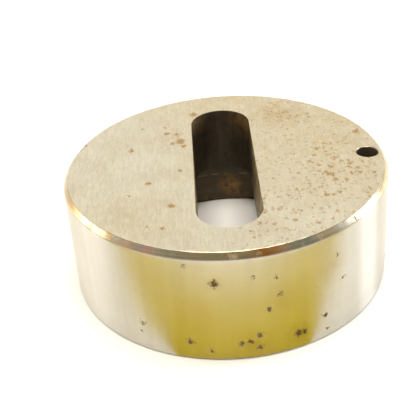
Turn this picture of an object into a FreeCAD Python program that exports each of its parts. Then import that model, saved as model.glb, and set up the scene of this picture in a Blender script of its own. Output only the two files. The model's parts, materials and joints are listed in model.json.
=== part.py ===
import FreeCAD, Part
import math
import os

import Sketcher

# Obround punch-press die: a round die made from one piece of hardened tool steel.
# The punch passes down through the obround opening, the slug falls out through the round
# relief in the base, and a pin of the die holder enters the hole in the rim to stop it turning.
#
# Frame, in millimetres: the origin is the centre of the base, +Z points up to the cutting face,
# +Y runs along the opening and +X points at the key pin hole.

doc = FreeCAD.newDocument("ObroundDie")

# Driving dimensions ------------------------------------------------------------------------

DRIVING = (
    # The round body.
    ("outer_diameter", 69.85, "slides into the bore of the die holder"),
    ("thickness", 25.4, "from the base to the cutting face"),
    ("lead_width", 1.0, "lead around the cutting face, measured inwards"),
    ("lead_height", 1.3, "the same lead, measured down the side"),
    ("base_break", 0.35, "45 degree break at the outer edge of the base"),
    # The opening that the punch passes through.
    ("opening_width", 13.4, "across the two straight sides"),
    ("opening_length", 51.4, "over the two round ends"),
    # The slug relief below the opening.
    ("relief_clearance", 0.5, "relief beyond each round end of the opening"),
    ("relief_depth", 10.2, "from the base up to the shoulder"),
    ("relief_break", 0.4, "45 degree break at the mouth of the relief"),
    # The hole for the key pin.
    ("key_diameter", 4.76, "key pin hole, right through the rim"),
    ("key_edge_wall", 0.55, "between the hole and the lead"),
    ("key_break", 0.15, "45 degree break at both mouths of the hole"),
)

# Sizes that follow from the ones above, so that every cut stays in line with its neighbour.
DERIVED = (
    ("outer_radius", "=outer_diameter / 2"),
    ("end_radius", "=opening_width / 2"),
    ("end_spacing", "=opening_length - opening_width"),
    ("relief_radius", "=opening_length / 2 + relief_clearance"),
    ("land_length", "=thickness - relief_depth"),
    ("key_radius", "=key_diameter / 2"),
    ("key_centre", "=outer_radius - lead_width - key_edge_wall - key_radius"),
)

sheet = doc.addObject("Spreadsheet::Sheet", "Sizes")
row = 0
for name, value, meaning in DRIVING:
    row += 1
    sheet.set(f"A{row}", name)
    sheet.set(f"B{row}", str(value))
    sheet.set(f"C{row}", meaning)
    sheet.setAlias(f"B{row}", name)
for name, formula in DERIVED:
    row += 1
    sheet.set(f"A{row}", name)
    sheet.set(f"B{row}", formula)
    sheet.setAlias(f"B{row}", name)
doc.recompute()


def size(name):
    """Return the value of one named cell."""
    return float(sheet.get(name))


def vec(across, up):
    """Return a point of a sketch."""
    return FreeCAD.Vector(across, up, 0)


# Sketching helpers -------------------------------------------------------------------------

ORIGIN_POINT = (-1, 1)
AXIS_ACROSS = -1
AXIS_UP = -2
START = 1
END = 2
CENTRE = 3


def sketch_on(body, role, name):
    """Return a new sketch of the body, attached to the named plane of the body's own origin."""
    plane = next(f for f in body.Origin.OriginFeatures if f.Role == role)
    sketch = body.newObject("Sketcher::SketchObject", name)
    sketch.AttachmentSupport = [(plane, "")]
    sketch.MapMode = "FlatFace"
    return sketch


def dimension(sketch, kind, name, ends, formula):
    """Add a distance or a radius, named and driven by a formula over the sheet's cells."""
    index = sketch.addConstraint(Sketcher.Constraint(kind, *ends, 1.0))
    sketch.renameConstraint(index, name)
    sketch.setExpression(f"Constraints.{name}", formula)


def closed_outline(sketch, corners):
    """Draw straight lines round the corners, joined end to end, and return their indices."""
    count = len(corners)
    lines = [
        sketch.addGeometry(Part.LineSegment(vec(*corners[i]), vec(*corners[(i + 1) % count])))
        for i in range(count)
    ]
    for i, line in enumerate(lines):
        follower = lines[(i + 1) % count]
        sketch.addConstraint(Sketcher.Constraint("Coincident", line, END, follower, START))
    return lines


def level(sketch, *lines):
    """Keep the lines level."""
    for line in lines:
        sketch.addConstraint(Sketcher.Constraint("Horizontal", line))


def upright(sketch, *lines):
    """Keep the lines upright."""
    for line in lines:
        sketch.addConstraint(Sketcher.Constraint("Vertical", line))


def settled(sketch):
    """Recompute, and stop unless the sketch is solved with nothing left free."""
    doc.recompute()
    if sketch.solve() != 0 or not sketch.FullyConstrained:
        raise RuntimeError(f"{sketch.Label} is not fully constrained")


def cut_volume(body, feature):
    """Recompute, and return the volume that the feature took away from the body."""
    before = body.Shape.Volume
    body.Tip = feature
    doc.recompute()
    removed = before - body.Shape.Volume
    if removed <= 0:
        raise RuntimeError(f"{feature.Label} removed nothing")
    return removed


# Die body ----------------------------------------------------------------------------------

body = doc.addObject("PartDesign::Body", "DieBody")
body.Label = "die_body"


def turned_blank():
    """Turn the blank: base, side, lead and the slug relief, in one half section."""
    outer = size("outer_radius")
    top = size("thickness")
    lead_inner = outer - size("lead_width")
    lead_foot = top - size("lead_height")
    base_break = size("base_break")
    relief = size("relief_radius")
    roof = size("relief_depth")
    mouth = size("relief_break")
    sketch = sketch_on(body, "XZ_Plane", "HalfSection")
    face, lead, side, edge, base, flare, wall, shoulder, axis = closed_outline(
        sketch,
        (
            (0, top),
            (lead_inner, top),
            (outer, lead_foot),
            (outer, base_break),
            (outer - base_break, 0),
            (relief + mouth, 0),
            (relief, mouth),
            (relief, roof),
            (0, roof),
        ),
    )
    level(sketch, face, base, shoulder)
    upright(sketch, side, wall, axis)
    sketch.addConstraint(Sketcher.Constraint("PointOnObject", base, START, AXIS_ACROSS))
    sketch.addConstraint(Sketcher.Constraint("PointOnObject", axis, START, AXIS_UP))
    across = "DistanceX"
    up = "DistanceY"
    dimension(sketch, across, "OuterRadius", (*ORIGIN_POINT, side, START), "Sizes.outer_radius")
    dimension(sketch, up, "Thickness", (*ORIGIN_POINT, face, START), "Sizes.thickness")
    dimension(sketch, across, "LeadWidth", (lead, START, lead, END), "Sizes.lead_width")
    dimension(sketch, up, "LeadHeight", (lead, END, lead, START), "Sizes.lead_height")
    dimension(sketch, across, "BaseBreakIn", (edge, END, edge, START), "Sizes.base_break")
    dimension(sketch, up, "BaseBreakUp", (edge, END, edge, START), "Sizes.base_break")
    dimension(sketch, across, "ReliefRadius", (*ORIGIN_POINT, wall, START), "Sizes.relief_radius")
    dimension(sketch, across, "MouthIn", (flare, END, flare, START), "Sizes.relief_break")
    dimension(sketch, up, "MouthUp", (flare, START, flare, END), "Sizes.relief_break")
    dimension(sketch, up, "ReliefDepth", (*ORIGIN_POINT, shoulder, START), "Sizes.relief_depth")
    settled(sketch)
    blank = body.newObject("PartDesign::Revolution", "TurnedBlank")
    blank.Profile = sketch
    blank.ReferenceAxis = (sketch, ["V_Axis"])
    blank.Angle = 360
    body.Tip = blank
    doc.recompute()


def punched_opening():
    """Cut the obround opening through the land, along +Y and centred on the body."""
    radius = size("end_radius")
    reach = size("end_spacing") / 2
    sketch = sketch_on(body, "XY_Plane", "OpeningOutline")
    upward = FreeCAD.Vector(0, 0, 1)
    far = sketch.addGeometry(
        Part.ArcOfCircle(Part.Circle(vec(0, reach), upward, radius), 0, math.pi)
    )
    near = sketch.addGeometry(
        Part.ArcOfCircle(Part.Circle(vec(0, -reach), upward, radius), math.pi, 2 * math.pi)
    )
    left = sketch.addGeometry(Part.LineSegment(vec(-radius, reach), vec(-radius, -reach)))
    right = sketch.addGeometry(Part.LineSegment(vec(radius, -reach), vec(radius, reach)))
    for first, second in ((far, left), (left, near), (near, right), (right, far)):
        sketch.addConstraint(Sketcher.Constraint("Tangent", first, END, second, START))
    sketch.addConstraint(Sketcher.Constraint("Equal", far, near))
    sketch.addConstraint(Sketcher.Constraint("PointOnObject", far, CENTRE, AXIS_UP))
    sketch.addConstraint(
        Sketcher.Constraint("Symmetric", far, CENTRE, near, CENTRE, *ORIGIN_POINT)
    )
    dimension(sketch, "Radius", "EndRadius", (far,), "Sizes.end_radius")
    dimension(
        sketch, "DistanceY", "EndSpacing", (near, CENTRE, far, CENTRE), "Sizes.end_spacing"
    )
    settled(sketch)
    opening = body.newObject("PartDesign::Pocket", "PunchedOpening")
    opening.Profile = sketch
    opening.Type = "ThroughAll"
    opening.Reversed = True
    removed = cut_volume(body, opening)
    outline = Part.Face(Part.Wire(Part.__sortEdges__(sketch.Shape.Edges)))
    expected = outline.Area * size("land_length")
    if abs(removed - expected) > 0.001 * expected:
        raise RuntimeError("the opening does not pass straight through the land")


def key_pin_hole():
    """Bore the key pin hole right through the rim, with a small break at each mouth."""
    centre = size("key_centre")
    radius = size("key_radius")
    flare = size("key_break")
    top = size("thickness")
    sketch = sketch_on(body, "XZ_Plane", "KeyHoleSection")
    # Half section of the cutter: its corners at the two mouths lie on the faces themselves.
    crown, upper, wall, lower, foot, axis = closed_outline(
        sketch,
        (
            (centre, top),
            (centre + radius + flare, top),
            (centre + radius, top - flare),
            (centre + radius, flare),
            (centre + radius + flare, 0),
            (centre, 0),
        ),
    )
    level(sketch, crown, foot)
    upright(sketch, wall, axis)
    sketch.addConstraint(Sketcher.Constraint("PointOnObject", foot, END, AXIS_ACROSS))
    across = "DistanceX"
    up = "DistanceY"
    dimension(sketch, across, "KeyCentre", (*ORIGIN_POINT, axis, START), "Sizes.key_centre")
    dimension(sketch, up, "Height", (axis, START, axis, END), "Sizes.thickness")
    dimension(sketch, across, "KeyRadius", (axis, END, wall, START), "Sizes.key_radius")
    dimension(sketch, across, "UpperOut", (upper, END, upper, START), "Sizes.key_break")
    dimension(sketch, up, "UpperDown", (upper, END, upper, START), "Sizes.key_break")
    dimension(sketch, across, "LowerOut", (lower, START, lower, END), "Sizes.key_break")
    dimension(sketch, up, "LowerUp", (lower, END, lower, START), "Sizes.key_break")
    settled(sketch)
    hole = body.newObject("PartDesign::Groove", "KeyPinHole")
    hole.Profile = sketch
    hole.ReferenceAxis = (sketch, [f"Edge{axis + 1}"])
    hole.Angle = 360
    cut_volume(body, hole)


turned_blank()
punched_opening()
key_pin_hole()
body.Placement = FreeCAD.Placement()
doc.recompute()

# Checks and export -------------------------------------------------------------------------

for item in doc.Objects:
    for fault in ("Invalid", "Error"):
        if fault in item.State:
            raise RuntimeError(f"{item.Label} is marked {fault}")

sub_parts = [body]
for piece in sub_parts:
    if piece.Shape.isNull() or not piece.Shape.isValid():
        raise RuntimeError(f"{piece.Label} has no valid shape")
    if len(piece.Shape.Solids) != 1:
        raise RuntimeError(f"{piece.Label} is not one solid")

os.makedirs("parts", exist_ok=True)
for piece in sub_parts:
    piece.Shape.exportStep(os.path.join("parts", f"{piece.Label}.step"))
    box = piece.Shape.BoundBox
    print(f"{piece.Label}: {box.XLength:.2f} x {box.YLength:.2f} x {box.ZLength:.2f} mm,")
    print(f"  {piece.Shape.Volume:.1f} cubic mm, {len(piece.Shape.Faces)} faces")
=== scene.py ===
import json
import logging
import math
from collections.abc import Sequence
from dataclasses import dataclass, field
from enum import Enum

import bmesh
import bpy
from mathutils import Euler, Matrix, Vector, noise


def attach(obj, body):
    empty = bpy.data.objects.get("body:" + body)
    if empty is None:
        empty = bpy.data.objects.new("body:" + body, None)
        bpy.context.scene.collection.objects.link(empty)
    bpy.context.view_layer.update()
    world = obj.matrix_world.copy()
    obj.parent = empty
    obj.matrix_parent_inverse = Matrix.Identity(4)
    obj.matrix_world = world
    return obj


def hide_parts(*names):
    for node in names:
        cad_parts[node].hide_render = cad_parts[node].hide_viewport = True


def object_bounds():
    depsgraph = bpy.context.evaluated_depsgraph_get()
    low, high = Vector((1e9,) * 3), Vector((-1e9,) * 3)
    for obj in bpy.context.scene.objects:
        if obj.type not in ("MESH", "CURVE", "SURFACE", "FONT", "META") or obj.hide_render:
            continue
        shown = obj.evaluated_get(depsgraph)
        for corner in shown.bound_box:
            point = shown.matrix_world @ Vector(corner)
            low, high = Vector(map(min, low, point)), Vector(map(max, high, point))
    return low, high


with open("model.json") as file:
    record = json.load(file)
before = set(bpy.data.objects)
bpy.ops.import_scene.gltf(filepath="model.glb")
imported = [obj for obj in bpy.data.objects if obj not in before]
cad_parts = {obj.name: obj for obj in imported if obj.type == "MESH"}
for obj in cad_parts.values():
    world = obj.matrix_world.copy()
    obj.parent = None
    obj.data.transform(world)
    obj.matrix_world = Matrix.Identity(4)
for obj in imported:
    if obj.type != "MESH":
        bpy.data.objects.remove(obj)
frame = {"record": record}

# An obround punch-press die, dressed round its CAD frame. Lengths are in millimetres in
# fields, tables and arguments, and in metres in the meshes.

CAD_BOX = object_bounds()
CAD_NODE = "die_body"
MM = 0.001
FULL_TURN = 2 * math.pi
UP = Vector((0, 0, 1))

# Points this near each other are one point, in metres.
WELD = 1e-7

# A face is level, and shaded flat, when the upright part of its normal is longer than this.
LEVEL = 0.9999

# Two faces that meet at a sharper angle than this keep a crisp edge, in degrees.
CRISP = 32

Tree = bpy.types.NodeTree
Socket = bpy.types.NodeSocket
Place = tuple[float, float, float]

log = logging.getLogger("die")


# --- Small helpers ---

# The places of a colour Mix node's inputs, whose names it uses more than once, and how the
# node is set to mix colours and give one back.
SHARE, UNDER, OVER = 0, 6, 7
IN_COLOUR = {"data_type": "RGBA", "out": 2}

# The middle of a cloudy pattern's range, where nearly all of it lies.
CLOUD_LOW, CLOUD_HIGH = 0.3, 0.7


def linear(hex_colour: str) -> tuple[float, float, float, float]:
    """Turn an sRGB hex colour into linear light.

    Args:
        hex_colour: Six hex digits, such as "d8cbae".

    Returns:
        Red, green, blue and an alpha of one.
    """
    shares = [int(hex_colour[i : i + 2], 16) / 255 for i in (0, 2, 4)]
    red, green, blue = (
        s / 12.92 if s <= 0.04045 else ((s + 0.055) / 1.055) ** 2.4 for s in shares
    )
    return red, green, blue, 1.0


def mount(name: str) -> dict:
    """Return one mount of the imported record."""
    return next(m for m in frame["record"]["mounts"] if m["name"] == name)


def add(
    tree: Tree,
    kind: str,
    sockets: dict | None = None,
    out: int | str = 0,
    **settings: object,
) -> Socket | None:
    """Add one node.

    Args:
        tree: The node tree.
        kind: The node's type name after "ShaderNode".
        sockets: For each input, by name or place, the output that feeds it or its value.
        out: The name or place of the output to give back.
        **settings: The node's own properties.

    Returns:
        The output asked for, or None from a node that has none.
    """
    node = tree.nodes.new(f"ShaderNode{kind}")
    for name, value in settings.items():
        setattr(node, name, value)
    for key, value in (sockets or {}).items():
        if isinstance(value, bpy.types.NodeSocket):
            tree.links.new(value, node.inputs[key])
        else:
            node.inputs[key].default_value = value
    return node.outputs[out] if node.outputs else None


def place_object(shape: bmesh.types.BMesh, name: str) -> bpy.types.Object:
    """Turn a bmesh into an object at the origin.

    Args:
        shape: The bmesh, which is freed.
        name: The name of the mesh and the object.

    Returns:
        The object.
    """
    data = bpy.data.meshes.new(name)
    shape.to_mesh(data)
    shape.free()
    piece = bpy.data.objects.new(name, data)
    bpy.context.scene.collection.objects.link(piece)
    return piece


# --- What years of use left on the steel ---


@dataclass(frozen=True)
class Stain:
    """A rust stain; its depth is how far a dent in the side, or a pit floor, goes in."""

    place: Place
    radius: float
    depth: float = 0.0


@dataclass(frozen=True)
class Wash:
    """A soft patch where heat, oil or oxide tints the steel, at most by its share; some patches
    are painted light and painted shade instead.
    """

    place: Place
    radius: float
    colour: str
    share: float


@dataclass(frozen=True)
class Peppering:
    """A region where the rust specks stand closer, by the density it adds to theirs."""

    place: Place
    radius: float
    density: float


@dataclass(frozen=True)
class Specks:
    """One size of rust specks.

    Attributes:
        spacing: Millimetres between the places where a speck may be.
        density: The share of those places that have one.
        strength: How far a speck hides the steel.
    """

    spacing: float
    density: float
    strength: float


@dataclass(frozen=True)
class Tide:
    """A line that standing coolant left on an upright wall, and the colour under it.

    Attributes:
        height: Millimetres above the base.
        line: The line's own colour, sRGB hex.
        below: The colour of what it covers, sRGB hex.
        waver: How far the line strays up and down.
        width: The line's width.
        fade: The height over which the colour below comes in.
    """

    height: float
    line: str
    below: str
    waver: float = 0.8
    width: float = 0.3
    fade: float = 0.6


# Stains on the cutting face: x, y, radius and depth.
FACE_STAINS = (
    (-20.4, 8.4, 0.9, 0.05),
    (-16.4, -6.9, 0.9, 0.05),
    (-20.4, -11.3, 0.6, 0.0),
    (-11.6, -16.3, 1.1, 0.06),
    (-13.3, -24.5, 0.8, 0.05),
    (-16.4, -23.5, 0.45, 0.0),
    (-9.7, -2.2, 0.6, 0.0),
    (-12.9, 18.8, 0.6, 0.0),
    (-12.4, 15.6, 1.0, 0.0),
    (-10.1, 14.7, 0.7, 0.0),
    (-9.4, 11.3, 1.6, 0.08),
    (-8.6, 8.8, 0.9, 0.0),
    (-11.1, 10.5, 0.8, 0.0),
    (-6.1, 24.6, 1.3, 0.0),
    (20.7, 18.8, 0.6, 0.0),
    (30.3, 9.8, 1.1, 0.05),
    (20.5, 3.0, 0.8, 0.05),
    (20.1, -4.4, 0.6, 0.0),
    (22.3, -5.3, 0.8, 0.04),
    (24.9, -3.3, 0.7, 0.0),
    (25.9, -5.8, 0.6, 0.0),
    (27.8, -6.6, 0.7, 0.0),
    (26.1, -8.6, 0.6, 0.0),
    (21.4, -8.4, 0.7, 0.0),
    (24.7, -11.1, 0.6, 0.0),
    (19.7, -16.5, 0.8, 0.04),
    (21.2, -16.7, 0.6, 0.0),
    (28.6, -15.2, 0.6, 0.0),
    (6.7, -20.4, 0.7, 0.0),
    (3.7, -27.7, 0.7, 0.0),
    (-18.2, 18.8, 0.5, 0.0),
    (-31.0, 12.7, 0.5, 0.0),
)

# Stains on the side: degrees from -Y towards +X, height, radius and depth.
SIDE_STAINS = (
    (-6.9, 18.8, 0.95, 0.1),
    (-33.0, 6.7, 0.55, 0.08),
    (-33.5, 4.3, 0.4, 0.0),
    (-16.0, 4.3, 0.65, 0.08),
    (-9.3, 2.5, 0.5, 0.0),
    (6.7, 5.7, 0.65, 0.08),
    (3.5, 4.3, 0.6, 0.08),
    (0.7, 4.1, 0.6, 0.08),
    (6.6, 2.6, 0.65, 0.08),
    (19.6, 3.8, 0.85, 0.08),
    (22.0, 3.9, 0.6, 0.08),
    (9.9, 11.7, 0.55, 0.0),
    (13.9, 14.9, 0.5, 0.0),
    (30.0, 5.9, 0.6, 0.05),
    (31.0, 2.2, 0.4, 0.0),
    (5.0, 19.8, 0.4, 0.0),
    (12.3, 18.9, 0.4, 0.0),
    (37.5, 13.0, 0.45, 0.0),
    (34.8, 19.0, 0.4, 0.0),
    (-16.2, 22.7, 0.4, 0.0),
    (72.4, 4.9, 0.6, 0.08),
    # The unseen sides and back get a few of the same kind.
    (104.0, 12.5, 0.8, 0.1),
    (118.5, 6.0, 0.6, 0.08),
    (149.0, 17.5, 0.7, 0.08),
    (171.0, 5.0, 1.0, 0.12),
    (176.0, 7.0, 0.6, 0.06),
    (-158.0, 13.0, 0.9, 0.1),
    (-131.0, 4.5, 0.7, 0.08),
    (-97.0, 15.5, 0.6, 0.06),
    (-88.0, 5.5, 0.8, 0.1),
)

# Stains on the lead: degrees from -Y towards +X and radius.
LEAD_STAINS = ((-1.2, 0.5), (0.4, 0.5), (7.7, 0.4), (28.6, 0.5), (44, 0.4))

# Tints on the lead: degrees from -Y towards +X, radius, colour and share. Most are heat tints;
# three are painted light and painted shade, marked below.
LEAD_TINTS_AND_PAINTED_LIGHT = (
    # Painted shade: these two golden tints tone down the left highlight and its end.
    (-68.0, 7.0, "e0b878", 0.9),
    (-54.0, 7.0, "8f7a50", 1.0),
    (-44.0, 4.0, "a88c5c", 0.9),
    (-36.0, 3.0, "e0bc90", 0.9),
    (-29.0, 4.0, "dcae92", 0.9),
    (46.0, 4.0, "b09868", 0.9),
    (-20.0, 3.4, "a8a886", 0.8),
    (0.0, 7.0, "a89a74", 0.7),
    # Painted reflection: pale gold that lightens the lead where it mirrors the bright room on the
    # right.
    (68.0, 9.0, "f2dca0", 1.0),
    (9.5, 3.6, "c07c34", 0.95),
    (14.5, 2.6, "d08a3c", 0.8),
    (22.5, 4.2, "8f9478", 0.9),
    (32.0, 3.0, "c9b27c", 0.8),
    (120.0, 5.0, "b98a50", 0.7),
    (-140.0, 6.0, "a99a72", 0.7),
    (175.0, 5.0, "c48a54", 0.6),
)


# --- Finishes ---


@dataclass(frozen=True)
class Clouding:
    """A cloudy pattern.

    Attributes:
        per_mm: How many clouds lie along a millimetre.
        layers: How many times finer clouds are laid over them.
    """

    per_mm: float
    layers: float

    def sockets(self, place: Socket) -> dict:
        """Return the inputs of the Noise Texture node that draws it."""
        return {"Vector": place, "Scale": self.per_mm, "Detail": self.layers, "Roughness": 0.6}


OIL_FILM = Clouding(0.13, 5.0)
TORN_EDGE = Clouding(0.5, 5.0)
DAPPLE = Clouding(1.5, 3.0)
RUST_SHAPE = Clouding(1.9, 5.0)
TIDE_WAVER = Clouding(0.6, 3.0)
TIDE_GAPS = Clouding(0.35, 2.0)
MACHINING = Clouding(1.0, 3.0)


@dataclass(frozen=True)
class Grain:
    """Fine parallel lines left by a grinding wheel or a turning tool.

    Attributes:
        frequency: Lines per millimetre along X, Y and Z.
        contrast: How much the lines lighten and darken the steel.
        relief: The height of the lines.
    """

    frequency: Place
    contrast: float
    relief: float


@dataclass(frozen=True)
class SteelFinish:
    """Hardened tool steel under a thin film of old oil.

    The film makes bare steel look warm, and rust takes the shine away where it sits, so rust
    lowers the metallic share and raises the roughness.

    Attributes:
        name: The material's name.
        steel: The colour of bare steel, sRGB hex.
        shade: Its colour where the film is thicker, sRGB hex.
        roughness: The roughness of bare steel.
        grain: The machining lines.
        metallic: The metallic share of bare steel, lower under an oxide skin.
        anisotropy: How far the lines draw a reflection out.
        tangent_axis: The axis that the tangent turns about.
        anisotropy_turn: How far the shine is turned from that tangent, in turns.
        chatter: Wider waves across the lines.
        rust: The colour of old rust, sRGB hex.
        fresh_rust: The colour of new rust, sRGB hex.
        rust_metallic: The metallic share of rust, higher where it is a film that still shines.
        rust_roughness: The roughness of rust.
        flat: Whether the specks lie on a level face.
        wander: How far the specks and stains stray from round.
        mottling: How much the film dapples the steel.
        stretch: How far specks and stains shrink along X, Y and Z.
        stain_reach: How far a stain reaches, as a share of its radius.
        stain_strength: How far a stain hides the steel.
        specks: The sizes of specks.
        peppering: Where they stand closer.
        stains: The larger stains.
        washes: The tinted patches, some of them painted light and painted shade.
        tide: The tide line, on a wall that has one.
    """

    name: str
    steel: str
    shade: str
    roughness: float
    grain: Grain
    metallic: float = 1.0
    anisotropy: float = 0.0
    tangent_axis: str = "Z"
    anisotropy_turn: float = 0.0
    chatter: Grain | None = None
    rust: str = "87703f"
    fresh_rust: str = "8a6033"
    rust_metallic: float = 0.1
    rust_roughness: float = 0.75
    flat: bool = False
    wander: float = 2.2
    mottling: float = 0.0
    stretch: Place = (1.0, 1.0, 1.0)
    stain_reach: float = 1.15
    stain_strength: float = 0.95
    specks: tuple[Specks, ...] = ()
    peppering: tuple[Peppering, ...] = ()
    stains: tuple[Stain, ...] = ()
    washes: tuple[Wash, ...] = ()
    tide: Tide | None = None

    def build(self) -> bpy.types.Material:
        """Make the material.

        Returns:
            The material, ready for a slot.
        """
        material = bpy.data.materials.new(self.name)
        material.use_nodes = True
        tree = material.node_tree
        tree.nodes.clear()
        metres = add(tree, "TexCoord", out="Object")
        place = add(tree, "Mapping", {"Vector": metres, "Scale": (1 / MM,) * 3})
        lines = self._lines(tree, place, self.grain)
        waves = self._lines(tree, place, self.chatter) if self.chatter else None
        clouds = add(tree, "TexNoise", OIL_FILM.sockets(place))
        rust = self._rust(tree, place)
        normal = self._relief(tree, lines, self.grain)
        if waves:
            normal = self._relief(tree, waves, self.chatter, normal)
        sockets = {"Value": rust, "To Min": self.metallic, "To Max": self.rust_metallic}
        metallic = add(tree, "MapRange", sockets)
        sockets = {"Value": rust, "To Min": self.roughness, "To Max": self.rust_roughness}
        roughness = add(tree, "MapRange", sockets)
        shader = add(
            tree,
            "BsdfPrincipled",
            {
                "Base Color": self._colour(tree, place, lines, waves, clouds, rust),
                "Metallic": metallic,
                "Roughness": roughness,
                "Normal": normal,
                "Tangent": add(tree, "Tangent", direction_type="RADIAL", axis=self.tangent_axis),
                "Anisotropic": self.anisotropy,
                "Anisotropic Rotation": self.anisotropy_turn,
            },
        )
        add(tree, "OutputMaterial", {"Surface": shader})
        return material

    # Patterns

    @staticmethod
    def _lines(tree: Tree, place: Socket, grain: Grain) -> Socket:
        """Return the height of some machining lines, from zero to one."""
        drawn_out = add(tree, "Mapping", {"Vector": place, "Scale": grain.frequency})
        return add(tree, "TexNoise", MACHINING.sockets(drawn_out))

    @staticmethod
    def _spot(
        tree: Tree, place: Socket, centre: Place, radius: float, core: float, full: float
    ) -> Socket:
        """Make a soft round spot.

        Args:
            tree: The node tree.
            place: The point.
            centre: The spot's middle.
            radius: Where it has faded to zero.
            core: The share of the radius within which it is full.
            full: Its value there.

        Returns:
            The spot's value.
        """
        away = add(tree, "VectorMath", {0: place, 1: centre}, out="Value", operation="DISTANCE")
        ends = {"Value": away, "From Min": radius, "From Max": radius * core, "To Max": full}
        return add(tree, "MapRange", ends)

    @staticmethod
    def _relief(tree: Tree, height: Socket, grain: Grain, normal: Socket | None = None) -> Socket:
        """Turn the height of some lines into the normal they give the surface.

        Args:
            tree: The node tree.
            height: The lines' height, from zero to one.
            grain: The lines.
            normal: The normal of the lines that they lie on, where there are any.

        Returns:
            The normal.
        """
        sockets = {"Height": height, "Distance": grain.relief * MM, "Strength": 1.0}
        if normal:
            sockets["Normal"] = normal
        return add(tree, "Bump", sockets)

    @staticmethod
    def _tinted(tree: Tree, colour: Socket, pattern: Socket, contrast: float) -> Socket:
        """Lighten and darken a colour with a pattern.

        Args:
            tree: The node tree.
            colour: The colour.
            pattern: A pattern from zero to one.
            contrast: How much the colour gains and loses.

        Returns:
            The new colour.
        """
        ends = {"From Min": CLOUD_LOW, "From Max": CLOUD_HIGH}
        ends |= {"To Min": 1 - contrast, "To Max": 1 + contrast}
        light = add(tree, "MapRange", {"Value": pattern, **ends})
        return add(tree, "VectorMath", {0: colour, "Scale": light}, operation="SCALE")

    # Layers

    def _colour(
        self,
        tree: Tree,
        place: Socket,
        lines: Socket,
        waves: Socket | None,
        clouds: Socket,
        rust: Socket,
    ) -> Socket:
        """Lay the steel, its washes, its lines and its rust over each other.

        Args:
            tree: The node tree.
            place: The point.
            lines: The height of the machining lines.
            waves: The height of the chatter, where there is any.
            clouds: The drifts of the oil film.
            rust: How far rust hides the steel.

        Returns:
            The base colour.
        """
        ends = {"Value": clouds, "From Min": CLOUD_LOW, "From Max": CLOUD_HIGH}
        drift = add(tree, "MapRange", ends)
        sockets = {SHARE: drift, UNDER: linear(self.steel), OVER: linear(self.shade)}
        colour = add(tree, "Mix", sockets, **IN_COLOUR)
        torn = add(tree, "TexNoise", TORN_EDGE.sockets(place))
        ragged = add(tree, "MapRange", {"Value": torn, "From Min": CLOUD_LOW, "From Max": 0.6})
        for wash in self.washes:
            spot = self._spot(tree, place, wash.place, wash.radius, 0.1, wash.share)
            share = add(tree, "Math", {0: spot, 1: ragged}, operation="MULTIPLY")
            sockets = {SHARE: share, UNDER: colour, OVER: linear(wash.colour)}
            colour = add(tree, "Mix", sockets, **IN_COLOUR)
        if self.tide:
            colour = self._below_tide(tree, place, colour, self.tide, ragged)
        colour = self._tinted(tree, colour, lines, self.grain.contrast)
        if self.mottling:
            dapple = add(tree, "TexNoise", DAPPLE.sockets(place))
            colour = self._tinted(tree, colour, dapple, self.mottling)
        if waves:
            colour = self._tinted(tree, colour, waves, self.chatter.contrast)
        sockets = {SHARE: clouds, UNDER: linear(self.rust), OVER: linear(self.fresh_rust)}
        rusty = add(tree, "Mix", sockets, **IN_COLOUR)
        return add(tree, "Mix", {SHARE: rust, UNDER: colour, OVER: rusty}, **IN_COLOUR)

    @staticmethod
    def _below_tide(
        tree: Tree, place: Socket, colour: Socket, tide: Tide, ragged: Socket
    ) -> Socket:
        """Lay the tide line and what is under it over a colour.

        Args:
            tree: The node tree.
            place: The point.
            colour: The colour of the wall.
            tide: The tide line.
            ragged: A share that breaks up the colour under the line.

        Returns:
            The colour with both on it.
        """
        height = add(tree, "SeparateXYZ", {"Vector": place}, out="Z")
        waver = add(tree, "TexNoise", TIDE_WAVER.sockets(place))
        sockets = {0: waver, 1: tide.waver, 2: height}
        wavy = add(tree, "Math", sockets, operation="MULTIPLY_ADD")
        sockets = {0: wavy, 1: tide.height + tide.waver / 2}
        above = add(tree, "Math", sockets, operation="SUBTRACT")
        ends = {"Value": above, "From Min": tide.fade / 3, "From Max": -tide.fade}
        under = add(tree, "MapRange", ends)
        patchy = add(tree, "Math", {0: under, 1: ragged}, operation="MULTIPLY")
        sockets = {SHARE: patchy, UNDER: colour, OVER: linear(tide.below)}
        colour = add(tree, "Mix", sockets, **IN_COLOUR)
        off_line = add(tree, "Math", {0: above}, operation="ABSOLUTE")
        ends = {"Value": off_line, "From Min": tide.width, "From Max": tide.width / 6}
        line = add(tree, "MapRange", ends)
        gaps = add(tree, "TexNoise", TIDE_GAPS.sockets(place))
        broken = add(tree, "MapRange", {"Value": gaps, "From Min": 0.45, "From Max": 0.6})
        share = add(tree, "Math", {0: line, 1: broken}, operation="MULTIPLY")
        sockets = {SHARE: share, UNDER: colour, OVER: linear(tide.line)}
        return add(tree, "Mix", sockets, **IN_COLOUR)

    def _rust(self, tree: Tree, place: Socket) -> Socket | float:
        """Put the specks of each size and the stains together.

        Args:
            tree: The node tree.
            place: The point.

        Returns:
            How far rust hides the steel.
        """
        shape = add(tree, "Mapping", {"Vector": place, "Scale": self.stretch})
        stray = add(tree, "TexNoise", RUST_SHAPE.sockets(shape), out="Color")
        sockets = {0: stray, 1: (self.wander,) * 3, 2: (-self.wander / 2,) * 3}
        stray = add(tree, "VectorMath", sockets, operation="MULTIPLY_ADD")
        shape = add(tree, "VectorMath", {0: shape, 1: stray})
        rust = 0.0
        for specks in self.specks:
            share = self._speckled(tree, shape, specks)
            rust = add(tree, "Math", {0: rust, 1: share}, operation="MAXIMUM")
        for stain in self.stains:
            centre = tuple(c * s for c, s in zip(stain.place, self.stretch))
            reach = stain.radius * self.stain_reach
            share = self._spot(tree, shape, centre, reach, 0.5, self.stain_strength)
            rust = add(tree, "Math", {0: rust, 1: share}, operation="MAXIMUM")
        return rust

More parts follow.
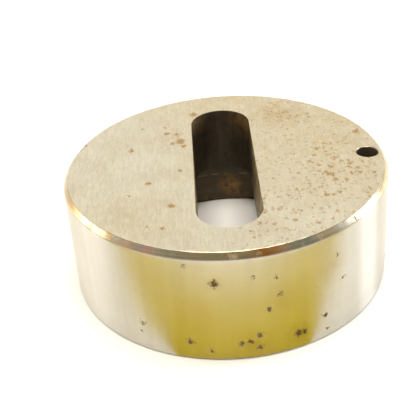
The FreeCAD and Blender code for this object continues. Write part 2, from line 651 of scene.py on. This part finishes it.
    def _speckled(self, tree: Tree, shape: Socket, specks: Specks) -> Socket:
        """Scatter one size of specks, each in a cell of its own.

        Args:
            tree: The node tree.
            shape: The point, strayed so that specks aren't round.
            specks: The size of specks.

        Returns:
            The specks' strength inside a speck and zero outside.
        """
        density = specks.density
        for region in self.peppering:
            centre = tuple(c * s for c, s in zip(region.place, self.stretch))
            denser = self._spot(tree, shape, centre, region.radius, 0.2, region.density)
            density = add(tree, "Math", {0: denser, 1: density})
        sockets = {"Vector": shape, "Scale": 1 / specks.spacing}
        flat = "2D" if self.flat else "3D"
        cells = add(tree, "TexVoronoi", sockets, out="Color", voronoi_dimensions=flat)
        chance = add(tree, "SeparateColor", {"Color": cells}, out="Red")
        # A cell has a speck when its chance and the density add up to more than one.
        luck = add(tree, "Math", {0: chance, 1: density})
        ends = {"Value": luck, "From Min": 1.0, "From Max": 1.5, "To Max": 0.45}
        sockets = {0: add(tree, "MapRange", ends), 1: cells.node.outputs["Distance"]}
        inside = add(tree, "Math", sockets, operation="SUBTRACT")
        return add(
            tree, "MapRange", {"Value": inside, "From Max": 0.09, "To Max": specks.strength}
        )


@dataclass(frozen=True)
class MattFinish:
    """A surface with no pattern and next to no shine.

    Attributes:
        name: The material's name.
        colour: sRGB hex.
        roughness: How far it scatters light.
    """

    name: str
    colour: str
    roughness: float

    def build(self) -> bpy.types.Material:
        """Make the material.

        Returns:
            The material, ready for a slot.
        """
        material = bpy.data.materials.new(self.name)
        material.use_nodes = True
        tree = material.node_tree
        tree.nodes.clear()
        sockets = {"Base Color": linear(self.colour), "Roughness": self.roughness}
        shader = add(tree, "BsdfPrincipled", {**sockets, "Specular IOR Level": 0.1})
        add(tree, "OutputMaterial", {"Surface": shader})
        return material


class Zone(Enum):
    """The surfaces of the die, each with a finish of its own."""

    FACE = 0
    LEAD = 1
    SIDE = 2
    BASE = 3
    LAND = 4
    RELIEF = 5
    KEY_HOLE = 6


# --- The die ---


@dataclass(frozen=True)
class Corner:
    """A corner of a section and how far it is rounded off."""

    place: Place
    rounded: float = 0.0


@dataclass(frozen=True)
class Stretch:
    """One stretch of a path: a straight move or a turn about an upright axis."""

    steps: int
    angle: float = 0.0
    centre: Place = (0, 0, 0)
    advance: Place = (0, 0, 0)


@dataclass
class DieBody:
    """The one-piece die: a turned and ground blank with three cuts through it.

    Attributes:
        flat_margin: The flat kept past a rounded edge, in roundings.
        wear_reach: How far from its edge the face is worn, in roundings.
        pit_share: A pit floor's radius, as a share of its stain's.
        pit_stretch: How much longer it is along the grinding lines.
        pit_stray: How far its rim strays, as a share of its radius.
        dent_share: How far a dent in the side reaches, as a share of its stain's radius.
        steps: The flats in a full turn.
    """

    outer_radius: float = min(CAD_BOX[1].x, CAD_BOX[1].y) / MM - 0.001
    thickness: float = CAD_BOX[1].z / MM - 0.0005
    lead_width: float = 1.0
    opening_width: float = 13.4
    opening_length: float = 51.4
    relief_clearance: float = 0.5
    relief_depth: float = 10.2
    relief_break: float = 0.4
    key_break: float = 0.15
    edge_round: float = 0.1
    edge_wear: float = 0.09
    lead_foot_round: float = 0.32
    flat_margin: float = 1.6
    stain_scale: float = 0.78
    pit_share: float = 0.55
    pit_stretch: float = 1.5
    pit_stray: float = 0.5
    dent_share: float = 1.25
    wear_reach: float = 1.5
    steps: int = 360
    mesh: bmesh.types.BMesh = field(default_factory=bmesh.new)

    def __post_init__(self) -> None:
        """Take the sizes that the record's mounts hold."""
        side = mount("die_holder_fit")
        middle = side["pos_m"][2] / MM
        half = side["dims"]["length_mm"] / 2
        self.side_top = middle + half
        self.base_break = middle - half
        key = mount("key_pin_hole")
        self.key_radius = key["dims"]["r_mm"]
        self.key_centre = key["pos_m"][0] / MM
        self.relief_radius = self.opening_length / 2 + self.relief_clearance

    # Shaping

    def _sweep(self, corners: Sequence[Corner], path: Sequence[Stretch], row: float) -> None:
        """Carry a section along a closed path and add the wall it leaves to the die.

        Args:
            corners: The section's corners.
            path: The stretches of the path.
            row: The longest straight piece the section keeps.
        """
        wall = bmesh.new()
        points = [wall.verts.new(Vector(c.place) * MM) for c in corners]
        for pair in zip(points, points[1:]):
            wall.edges.new(pair)
        for offset in {c.rounded for c in corners if c.rounded}:
            bmesh.ops.bevel(
                wall,
                geom=[p for p, c in zip(points, corners) if c.rounded == offset],
                offset=offset * MM,
                offset_type="OFFSET",
                segments=4,
                profile=0.5,
                affect="VERTICES",
                material=-1,
            )
        while long := [e for e in wall.edges if e.calc_length() > row * MM]:
            bmesh.ops.subdivide_edges(wall, edges=long, cuts=1)
        moving = [*wall.verts, *wall.edges]
        for stretch in path:
            moving = bmesh.ops.spin(
                wall,
                geom=moving,
                cent=Vector(stretch.centre) * MM,
                axis=UP,
                dvec=Vector(stretch.advance) * MM / stretch.steps,
                angle=stretch.angle,
                steps=stretch.steps,
                use_merge=stretch.angle == FULL_TURN,
            )["geom_last"]
        bmesh.ops.remove_doubles(wall, verts=wall.verts, dist=WELD)
        self._join(wall)

    def _join(self, shape: bmesh.types.BMesh) -> None:
        """Add a shape to the die.

        Args:
            shape: The bmesh to add, which is freed.
        """
        data = bpy.data.meshes.new("wall")
        shape.to_mesh(data)
        shape.free()
        self.mesh.from_mesh(data)
        bpy.data.meshes.remove(data)

    def _fill(self, height: float) -> None:
        """Fill the flat face between all the open rings at one height.

        Args:
            height: Millimetres above the base.
        """
        rings = [
            e
            for e in self.mesh.edges
            if e.is_boundary and all(abs(v.co.z - height * MM) < WELD for v in e.verts)
        ]
        bmesh.ops.triangle_fill(self.mesh, edges=rings, use_beauty=True)

    def _turned(self) -> None:
        """Turn the side with its lead, and the relief under the opening."""
        outer = self.outer_radius
        margin = self.edge_round * self.flat_margin
        lead_inner = outer - self.lead_width
        round_trip = (Stretch(steps=self.steps, angle=FULL_TURN),)
        self._sweep(
            (
                Corner((outer - self.base_break - margin, 0, 0)),
                Corner((outer - self.base_break, 0, 0), rounded=self.edge_round),
                Corner((outer, 0, self.base_break), rounded=self.edge_round),
                Corner((outer, 0, self.side_top), rounded=self.lead_foot_round),
                Corner((lead_inner, 0, self.thickness), rounded=self.edge_round),
                Corner((lead_inner - margin, 0, self.thickness)),
            ),
            round_trip,
            row=0.8,
        )
        foot = self.relief_radius + self.relief_break
        self._sweep(
            (
                Corner((self.relief_radius, 0, self.relief_depth)),
                Corner((self.relief_radius, 0, self.relief_break), rounded=self.edge_round),
                Corner((foot, 0, 0), rounded=self.edge_round),
                Corner((foot + margin, 0, 0)),
            ),
            round_trip,
            row=1.5,
        )

    def _key_hole(self) -> None:
        """Drill the key pin hole."""
        flare = self.key_radius + self.key_break
        centre = self.key_centre
        self._sweep(
            (
                Corner((centre + flare, 0, self.thickness)),
                Corner((centre + self.key_radius, 0, self.thickness - self.key_break)),
                Corner((centre + self.key_radius, 0, self.key_break)),
                Corner((centre + flare, 0, 0)),
            ),
            (Stretch(steps=72, angle=FULL_TURN, centre=(centre, 0, 0)),),
            row=2.0,
        )

    def _opening(self) -> None:
        """Cut the obround opening down to the relief."""
        radius = self.opening_width / 2
        reach = self.opening_length / 2 - radius
        break_width = self.edge_round * 0.6
        self._sweep(
            (
                Corner((radius + break_width, -reach, self.thickness)),
                Corner((radius, -reach, self.thickness - break_width)),
                Corner((radius, -reach, self.relief_depth)),
            ),
            (
                Stretch(steps=32, advance=(0, 2 * reach, 0)),
                Stretch(steps=44, angle=math.pi, centre=(0, reach, 0)),
                Stretch(steps=32, advance=(0, -2 * reach, 0)),
                Stretch(steps=44, angle=math.pi, centre=(0, -reach, 0)),
            ),
            row=2.0,
        )

    def _pit_floors(self) -> None:
        """Lay a ragged disc under the cutting face at each deep stain, as deep as its pit.

        The face isn't opened above the discs, so they lie inside the steel, out of sight.
        """
        for number, stain in enumerate(s for s in self.face_stains() if s.depth):
            disc = bmesh.new()
            centre = Vector(stain.place) * MM
            longer = Matrix.Diagonal((1, self.pit_stretch, 1, 1))
            bmesh.ops.create_circle(
                disc,
                cap_ends=True,
                segments=14,
                radius=stain.radius * self.pit_share * MM,
                matrix=Matrix.Translation(centre) @ longer,
            )
            for vert in disc.verts:
                stray = noise.noise(vert.co / MM * 2.3 + UP * number)
                vert.co += (vert.co - centre) * self.pit_stray * stray
            bmesh.ops.translate(disc, verts=disc.verts, vec=UP * -stain.depth * MM)
            self._join(disc)

    def _dent(self, stains: Sequence[Stain]) -> None:
        """Push the side in at each deep stain.

        Args:
            stains: The stains on the side.
        """
        for stain in (s for s in stains if s.depth):
            centre = Vector(stain.place) * MM
            reach = stain.radius * self.dent_share * MM
            for cuts in (2, 1):
                near = [
                    f for f in self.mesh.faces if (f.calc_center_median() - centre).length < reach
                ]
                edges = list({e for f in near for e in f.edges})
                bmesh.ops.subdivide_edges(self.mesh, edges=edges, cuts=cuts, use_grid_fill=True)
            inward = Vector((-centre.x, -centre.y, 0)).normalized()
            for vert in self.mesh.verts:
                away = (vert.co - centre).length / reach
                if away < 1:
                    rough = 0.75 + 0.6 * noise.noise(vert.co / MM * 2.6)
                    vert.co += inward * stain.depth * MM * (1 - away**2) ** 2 * rough

    def _wear_edge(self) -> None:
        """Wear the edge between the cutting face and the lead unevenly."""
        edge = Vector((self.outer_radius - self.lead_width, self.thickness))
        for vert in self.mesh.verts:
            place = vert.co / MM
            away = (Vector((math.hypot(place.x, place.y), place.z)) - edge).length
            if away < self.edge_round * self.wear_reach:
                long_wear = max(0.0, noise.noise(place * 0.8))
                short_wear = max(0.0, noise.noise(place * 2)) / 2
                vert.co.z -= self.edge_wear * (long_wear + short_wear) * MM

    def build(self) -> bpy.types.Object:
        """Make the finished piece.

        Returns:
            The die, at the origin.
        """
        self._turned()
        self._key_hole()
        self._opening()
        self._pit_floors()
        for height in (self.thickness, self.relief_depth, 0.0):
            self._fill(height)
        bmesh.ops.remove_doubles(self.mesh, verts=self.mesh.verts, dist=WELD)
        self._wear_edge()
        self._dent(self.side_stains())
        bmesh.ops.recalc_face_normals(self.mesh, faces=self.mesh.faces)
        return self._finished()

    def _zone_of(self, face: bmesh.types.BMFace) -> Zone:
        """Tell which surface a face belongs to.

        Args:
            face: A face of the die.

        Returns:
            Its zone.
        """
        middle = face.calc_center_median() / MM
        from_axis = math.hypot(middle.x, middle.y)
        from_key = math.hypot(middle.x - self.key_centre, middle.y)
        reach = (self.opening_length - self.opening_width) / 2
        from_slot = math.hypot(middle.x, max(abs(middle.y) - reach, 0))
        hair, pit = 1e-4, 0.12
        if middle.z > self.thickness - hair:
            return Zone.FACE
        if middle.z < hair:
            return Zone.BASE
        if from_key < self.key_radius + self.key_break:
            rim = self.thickness - self.key_break
            return Zone.FACE if middle.z > rim else Zone.KEY_HOLE
        if from_axis > self.outer_radius - self.lead_width:
            return Zone.LEAD if middle.z > self.side_top else Zone.SIDE
        if middle.z < self.relief_depth + hair:
            return Zone.RELIEF
        in_slot = from_slot < self.opening_width / 2 + self.edge_round
        return Zone.LAND if in_slot or middle.z < self.thickness - pit else Zone.FACE

    def _finished(self) -> bpy.types.Object:
        """Turn the bmesh into an object with a finish on each zone.

        Returns:
            The object.
        """
        for face in self.mesh.faces:
            face.material_index = self._zone_of(face).value
            face.smooth = abs(face.normal.z) < LEVEL
        for edge in self.mesh.edges:
            if len(edge.link_faces) == 2 and edge.calc_face_angle() > math.radians(CRISP):
                edge.smooth = False
        piece = place_object(self.mesh, "die_body_ground")
        for finish in self.finishes():
            piece.data.materials.append(finish.build())
        log.info("%s: %d faces", piece.name, len(piece.data.polygons))
        return piece

    def _on_face(self, x: float, y: float) -> Place:
        """Return a point on the cutting face."""
        return (x, y, self.thickness)

    def _on_side(self, azimuth: float, height: float) -> Place:
        """Find a point on the round side.

        Args:
            azimuth: Degrees from -Y towards +X.
            height: Millimetres above the base.

        Returns:
            The point in millimetres.
        """
        angle = math.radians(azimuth)
        return (self.outer_radius * math.sin(angle), -self.outer_radius * math.cos(angle), height)

    def _on_lead(self, azimuth: float) -> Place:
        """Find a point on the middle of the lead.

        Args:
            azimuth: Degrees from -Y towards +X.

        Returns:
            The point.
        """
        x, y, _ = self._on_side(azimuth, 0)
        share = 1 - self.lead_width / 2 / self.outer_radius
        return (x * share, y * share, (self.side_top + self.thickness) / 2)

    def face_stains(self) -> tuple[Stain, ...]:
        """Return the stains on the cutting face."""
        return tuple(
            Stain(self._on_face(x, y), radius * self.stain_scale, depth)
            for x, y, radius, depth in FACE_STAINS
        )

    def side_stains(self) -> tuple[Stain, ...]:
        """Return the stains on the side."""
        return tuple(
            Stain(self._on_side(azimuth, height), radius, depth)
            for azimuth, height, radius, depth in SIDE_STAINS
        )

    def finishes(self) -> list[SteelFinish]:
        """Choose how each surface looks.

        Returns:
            The finish of each zone, in the order of the zones.
        """
        # Ground flat along the opening: a bright field with faint stripes and brown freckles.
        # The lines run along Y, drawn three times as far apart as a 60 grit wheel leaves them
        # so that they show.
        cutting_face = SteelFinish(
            name="surface_ground_tool_steel",
            steel="dad6c4",
            shade="cfc7b1",
            roughness=0.34,
            grain=Grain((2.6, 0.4, 1.0), 0.1, 0.002),
            anisotropy=0.5,
            tangent_axis="Y",
            stretch=(1.0, 0.8, 1.0),
            mottling=0.05,
            rust="947b48",
            fresh_rust="8c6a36",
            flat=True,
            specks=(Specks(0.85, 0.14, 0.65), Specks(1.4, 0.03, 0.9)),
            peppering=(
                Peppering(self._on_face(-11.5, 14.5), 6.0, 0.3),
                Peppering(self._on_face(14.0, 22.0), 10.0, 0.25),
                Peppering(self._on_face(24.0, -8.0), 11.0, 0.2),
                Peppering(self._on_face(22.0, -4.0), 38.0, 0.3),
                Peppering(self._on_face(8.0, -26.0), 15.0, 0.25),
            ),
            stains=self.face_stains(),
            washes=(
                Wash(self._on_face(24.0, 10.0), 42.0, "cdbe98", 0.8),
                Wash(self._on_face(0.0, 34.0), 24.0, "cbb98c", 0.6),
                Wash(self._on_face(15.0, 22.0), 9.0, "b79a64", 0.5),
                Wash(self._on_face(-11.5, 14.5), 6.0, "b79a64", 0.4),
                Wash(self._on_face(-20.0, -20.0), 14.0, "c8bb95", 0.5),
            ),
        )
        # Ground round the axis to fit its holder: a near mirror. The fine lines run round the
        # body, so they draw every reflection out upright.
        ground_side = SteelFinish(
            name="cylindrically_ground_tool_steel",
            steel="d0cdc4",
            shade="cbc6b8",
            roughness=0.26,
            grain=Grain((0.03, 0.03, 3.2), 0.035, 0.0005),
            chatter=Grain((0.6, 0.6, 0.02), 0.045, 0.0012),
            anisotropy=1.0,
            anisotropy_turn=0.25,
            rust="6a5628",
            fresh_rust="7c5f2e",
            rust_metallic=0.85,
            wander=3.0,
            specks=(Specks(2.6, 0.12, 0.5), Specks(1.3, 0.2, 0.55)),
            stains=self.side_stains(),
            washes=(
                Wash(self._on_side(-6.9, 18.8), 2.6, "b0a468", 0.5),
                Wash(self._on_side(20.0, 4.0), 3.0, "a08c50", 0.6),
                Wash(self._on_side(5.0, 4.0), 4.0, "b0a068", 0.5),
                Wash(self._on_side(33.0, 17.0), 4.5, "bcb088", 0.5),
                Wash(self._on_side(14.0, 13.0), 5.0, "c0b690", 0.5),
                Wash(self._on_side(-12.0, 12.0), 6.0, "c8bf9c", 0.5),
            ),
        )
        # Turned and stoned: a thin bright ring that changes colour on its way round, from the
        # straw and blue that grinding heat leaves.
        # Painted shade dulls its left highlight, and a painted reflection lightens its right end.
        lead = SteelFinish(
            name="turned_lead_tool_steel",
            steel="c9bea6",
            shade="b9a888",
            roughness=0.26,
            grain=Grain((0.05, 0.05, 5.0), 0.2, 0.0015),
            specks=(Specks(1.6, 0.2, 0.6),),
            washes=tuple(
                Wash(self._on_lead(azimuth), *patch) for azimuth, *patch in LEAD_TINTS_AND_PAINTED_LIGHT
            ),
            stains=tuple(
                Stain(self._on_lead(azimuth), radius) for azimuth, radius in LEAD_STAINS
            ),
        )
        # Ground, then worn by the bed it stood on: duller than the face and spotted all over.
        base = SteelFinish(
            name="worn_ground_tool_steel",
            steel="c9bfa4",
            shade="b5a684",
            roughness=0.4,
            grain=Grain((0.15, 2.6, 1.0), 0.1, 0.002),
            flat=True,
            specks=(Specks(1.6, 0.25, 0.6), Specks(0.8, 0.2, 0.4)),
        )
        # Cut by wire and blackened by oil and heat. Painted sheen lays golden brown on the top
        # corners of the round end, and painted light lightens both flanks.
        mouth = self.thickness - 1.0
        round_end = (self.opening_length - self.opening_width) / 2
        flank = self.opening_width / 2
        land = SteelFinish(
            name="oxidised_cut_tool_steel",
            steel="5f5443",
            shade="40382c",
            roughness=0.5,
            metallic=0.5,
            grain=Grain((2.0, 2.0, 0.1), 0.25, 0.002),
            rust="6b4f28",
            specks=(Specks(1.4, 0.3, 0.5), Specks(0.7, 0.25, 0.7)),
            washes=(
                # Painted sheen: golden brown at the top corners of the round end, where the
                # curved wall mirrors the bright room.
                Wash((flank * 0.9, round_end + 3.0, mouth), 6.5, "a07a40", 0.9),
                Wash((-flank * 0.9, round_end + 3.0, mouth), 5.5, "967444", 0.8),
                # Painted light: light patches down both flanks, where light falls in through the
                # opening.
                Wash((-flank, 0.0, mouth), 18.0, "d2b67c", 1.0),
                Wash((flank, -12.0, 16.0), 31.0, "d2bf8e", 1.0),
                Wash((-flank, -16.0, 14.0), 20.0, "d2b67c", 1.0),
            ),
        )
        # Turned from below: dark brown, and darker still under the tide line of the coolant
        # that stood in it.
        relief = SteelFinish(
            name="oxidised_turned_tool_steel",
            steel="5a4d3a",
            shade="3d3427",
            roughness=0.5,
            metallic=0.5,
            grain=Grain((0.1, 0.1, 2.0), 0.2, 0.004),
            rust="6e4f26",
            specks=(Specks(1.4, 0.35, 0.6),),
            washes=(
                Wash((1.6, self.relief_radius, 4.4), 3.6, "d29a4a", 1.0),
                Wash((2.6, self.relief_radius, 3.4), 3.0, "d29a4a", 1.0),
                Wash((-5.0, self.relief_radius, 0.3), 4.5, "8f7a46", 1.0),
                Wash((4.5, self.relief_radius, 0.3), 4.5, "8f7238", 1.0),
                Wash((-14.0, -21.0, 4.0), 9.0, "8a6a3a", 0.9),
                Wash((20.0, -16.0, 3.0), 8.0, "8a6a3a", 0.8),
            ),
            tide=Tide(7.6, "7d6a48", "4a3c26"),
        )
        # Reamed: a thinner, lighter brown skin than in the cuts.
        key_hole = SteelFinish(
            name="oxidised_reamed_tool_steel",
            steel="857660",
            shade="5c5040",
            roughness=0.5,
            metallic=0.5,
            grain=Grain((0.2, 0.2, 3.0), 0.1, 0.002),
            specks=(Specks(1.2, 0.3, 0.6),),
        )
        return [cutting_face, lead, ground_side, base, land, relief, key_hole]


# --- Studio ---


@dataclass(frozen=True)
class Panel:
    """A soft light: a flat panel that faces the die.

    Attributes:
        name: The light's name.
        place: Where it hangs.
        size: Its width and height.
        power: In watts.
        colour: sRGB hex.
        aim: The point it faces.
    """

    name: str
    place: Place
    size: tuple[float, float]
    power: float
    colour: str = "ffffff"
    aim: Place = (0, 0, 12)

    def build(self) -> None:
        """Hang the light."""
        data = bpy.data.lights.new(self.name, "AREA")
        data.shape = "RECTANGLE"
        data.size = self.size[0] * MM
        data.size_y = self.size[1] * MM
        data.energy = self.power
        data.color = linear(self.colour)[:3]
        light = bpy.data.objects.new(self.name, data)
        light.location = Vector(self.place) * MM
        facing = Vector(self.aim) - Vector(self.place)
        light.rotation_euler = facing.to_track_quat("-Z", "Y").to_euler()
        light.visible_camera = False
        bpy.context.scene.collection.objects.link(light)


@dataclass(frozen=True)
class Glow:
    """A part of the surroundings with a colour of its own.

    Attributes:
        towards: The direction of its middle.
        near: The cosine of the angle within which it is full.
        far: The cosine of the angle where it ends.
        colour: sRGB hex.
    """

    towards: Place
    near: float
    far: float
    colour: str


@dataclass
class Studio:
    """Camera, floor, surroundings and lights.

    Attributes:
        camera_down: How far the camera looks down, in degrees.
        camera_turn: How far it is turned to the left, in degrees.
        camera_roll: How far it leans, in degrees.
        card_lift: How high the yellow card's near edge is.
        card_rise: How far its far edge curls up.
        card_gap: The room between the die and the card.
        card_turn: How far the card is turned, in degrees.
        card_foot: Where its tongue meets the die, in degrees from -Y towards +X.
        tongue: The tongue's outer corners, along X and out from the die's front.
    """

    camera_place: Place = (-4.0, -167.43, 118.16)
    camera_down: float = 31.865
    camera_turn: float = 0.096
    camera_roll: float = -4.367
    lens: float = 76.49
    sensor: float = 36.0
    floor_size: float = 6000.0
    card_length: float = 300.0
    card_width: float = 26.5
    card_lift: float = 0.3
    card_rise: float = 3.6
    card_gap: float = 0.3
    card_turn: float = -2.0
    card_foot: tuple[float, float] = (-21.0, 24.0)
    tongue: tuple[tuple[float, float], ...] = ((33, 2), (-27, 2))
    glows: tuple[Glow, ...] = (
        Glow((0.0, 0.85, 0.53), 0.85, 0.35, "fff8ec"),
        Glow((0.0, -0.57, 0.82), 0.97, 0.72, "90866b"),
    )
    room_strength: float = 1.1

    def camera(self) -> None:
        """Stand the camera in front of the die, looking down at it."""
        data = bpy.data.cameras.new("camera")
        data.lens = self.lens
        data.sensor_width = self.sensor
        data.clip_start = 0.01
        data.clip_end = 20.0
        camera = bpy.data.objects.new("camera", data)
        facing = (math.radians(90 - self.camera_down), 0, math.radians(self.camera_turn))
        level = Euler(facing).to_matrix()
        turned = level @ Matrix.Rotation(math.radians(self.camera_roll), 3, "Z")
        camera.matrix_world = Matrix.Translation(Vector(self.camera_place) * MM) @ turned.to_4x4()
        bpy.context.scene.collection.objects.link(camera)
        bpy.context.scene.camera = camera

    def floor(self) -> None:
        """Lay a plain matt white floor under the die."""
        shape = bmesh.new()
        bmesh.ops.create_grid(shape, x_segments=1, y_segments=1, size=self.floor_size * MM / 2)
        floor = place_object(shape, "floor")
        # Matt laminate: even and a little warm, so the eye goes to the die and its shadow.
        floor.data.materials.append(MattFinish("matt_white_laminate", "f3f2ee", 0.8).build())
        log.info("%s: %d faces", floor.name, len(floor.data.polygons))

    def warm_card(self) -> None:
        """Lay a yellow card in front of the die that only its polished side mirrors.

        The card curls up towards its far edge, and a tongue of it fills the gap at the die's
        foot.
        """
        low = self.card_lift
        foot = -CAD_BOX[0].y / MM
        bend = (self.card_width**2 + self.card_rise**2) / (2 * self.card_rise)
        near = -foot - self.card_gap
        shape = bmesh.new()
        ends = [
            shape.verts.new(Vector((side * self.card_length / 2, near, low)) * MM)
            for side in (-1, 1)
        ]
        bmesh.ops.spin(
            shape,
            geom=[*ends, shape.edges.new(ends)],
            cent=Vector((0, near, bend + low)) * MM,
            axis=(1, 0, 0),
            angle=-math.asin(self.card_width / bend),
            steps=16,
        )
        bmesh.ops.rotate(
            shape,
            cent=Vector((0, near, 0)) * MM,
            matrix=Matrix.Rotation(math.radians(self.card_turn), 3, "Z"),
            verts=shape.verts,
        )
        first, last = (math.radians(azimuth) for azimuth in self.card_foot)
        start = Matrix.Rotation(first, 3, "Z") @ Vector((0, -foot - 0.1, low / 2))
        curl = set(shape.edges)
        arc = shape.verts.new(start * MM)
        turned = bmesh.ops.spin(shape, geom=[arc], axis=UP, angle=last - first, steps=24)
        corners = [v for v in turned["geom_last"] if isinstance(v, bmesh.types.BMVert)]
        for x, y in self.tongue:
            corners.append(shape.verts.new(Vector((x, -foot - y, low / 2)) * MM))
        for pair in zip(corners, [*corners[1:], arc]):
            shape.edges.new(pair)
        outline = [e for e in shape.edges if e not in curl]
        bmesh.ops.triangle_fill(shape, edges=outline, use_beauty=True)
        card = place_object(shape, "warm_card")
        # Matt card: only its yellow reaches the eye, as a warm patch low on the ground side.
        card.data.materials.append(MattFinish("matt_yellow_card", "c9b420", 0.9).build())
        for seen_by in ("camera", "diffuse", "shadow", "transmission"):
            setattr(card, f"visible_{seen_by}", False)
        log.info("%s: %d faces", card.name, len(card.data.polygons))

    def surroundings(self) -> None:
        """Surround the die with a room: bright behind it, dim above the camera, white if seen."""
        world = bpy.data.worlds.new("studio")
        world.use_nodes = True
        tree = world.node_tree
        tree.nodes.clear()
        direction = add(tree, "TexCoord", out="Generated")
        room = linear("acacac")
        for glow in self.glows:
            sockets = {0: direction, 1: glow.towards}
            facing = add(tree, "VectorMath", sockets, out="Value", operation="DOT_PRODUCT")
            ends = {"Value": facing, "From Min": glow.far, "From Max": glow.near}
            share = add(tree, "MapRange", ends, interpolation_type="SMOOTHSTEP")
            sockets = {SHARE: share, UNDER: room, OVER: linear(glow.colour)}
            room = add(tree, "Mix", sockets, **IN_COLOUR)
        seen = add(tree, "LightPath", out="Is Camera Ray")
        sockets = {SHARE: seen, UNDER: room, OVER: linear("ffffff")}
        colour = add(tree, "Mix", sockets, **IN_COLOUR)
        shader = add(tree, "Background", {"Color": colour, "Strength": self.room_strength})
        add(tree, "OutputWorld", {"Surface": shader})
        bpy.context.scene.world = world

    def lights(self) -> None:
        """Hang the soft lights."""
        Panel("overhead", (0, -500, 4500), (2500, 2500), 190.0, "fff8ee").build()
        Panel("left", (-690, 150, 190), (340, 260), 1.5).build()
        Panel("right", (700, 110, 190), (210, 260), 3.0, "e2ecff").build()

    def build(self) -> None:
        """Set the whole studio up."""
        self.camera()
        self.floor()
        self.warm_card()
        self.surroundings()
        self.lights()
        bpy.context.scene.view_settings.view_transform = "Standard"


def main() -> None:
    """Build the die and the studio round it."""
    logging.basicConfig(level=logging.INFO)
    piece = DieBody().build()
    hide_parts(CAD_NODE)
    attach(piece, "root")
    Studio().build()


if __name__ == "__main__":
    main()
